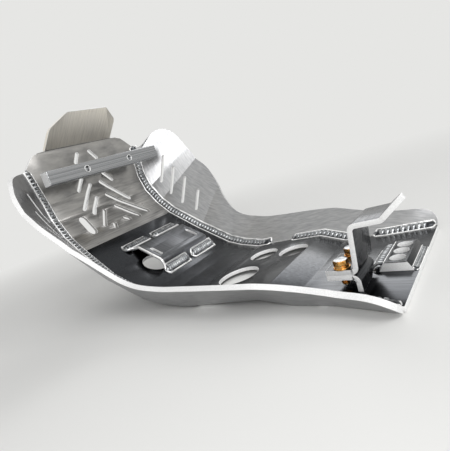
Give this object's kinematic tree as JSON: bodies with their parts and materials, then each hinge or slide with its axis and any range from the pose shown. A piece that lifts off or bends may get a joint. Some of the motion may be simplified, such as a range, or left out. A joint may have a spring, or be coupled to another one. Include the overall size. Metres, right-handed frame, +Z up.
{
  "type": "motorcycle skid plate",
  "caption": "Welded aluminium skid plate for an off-road motorcycle: folded floor with flared side wings, front clamp bar, channel bracket, rear clamp and socket block.",
  "frame": {"origin": "middle of the overall length, on the plate's centre plane, level with the underside of the rear floor", "axes": "+X to the rear wheel, +Y to the motorcycle's right, +Z up, as mounted with the rear floor level"},
  "size_m": [0.4982, 0.3472, 0.293],
  "materials": {
    "floor_metal": "bright rolled sheet",
    "wing_metal": "satin rolled sheet",
    "bar_metal": "drawn flat bar, satin",
    "bracket_metal": "satin formed sheet",
    "clamp_metal": "satin formed strap",
    "weld_metal": "bare weld bead",
    "screw_steel": "plated steel",
    "yellow_zinc": "yellow zinc plated steel"
  },
  "bodies": {
    "root": {"belly_plate": "floor_metal", "right_wing": "wing_metal", "left_wing": "wing_metal", "front_bar": "bar_metal", "front_bar_screws": "screw_steel", "tunnel_bracket": "bracket_metal", "rear_block": "bar_metal", "lower_clamp": "clamp_metal", "upper_clamp": "clamp_metal", "clamp_screws": "yellow_zinc", "clamp_washers": "yellow_zinc", "clamp_spring_washers": "yellow_zinc", "right_weld_front": "weld_metal", "right_weld_middle": "weld_metal", "right_weld_rear": "weld_metal", "right_weld_outer": "weld_metal", "left_weld_front": "weld_metal", "left_weld_middle": "weld_metal", "left_weld_rear": "weld_metal", "left_weld_outer": "weld_metal", "bracket_welds": "weld_metal", "block_welds": "weld_metal"}
  },
  "joints": []
}
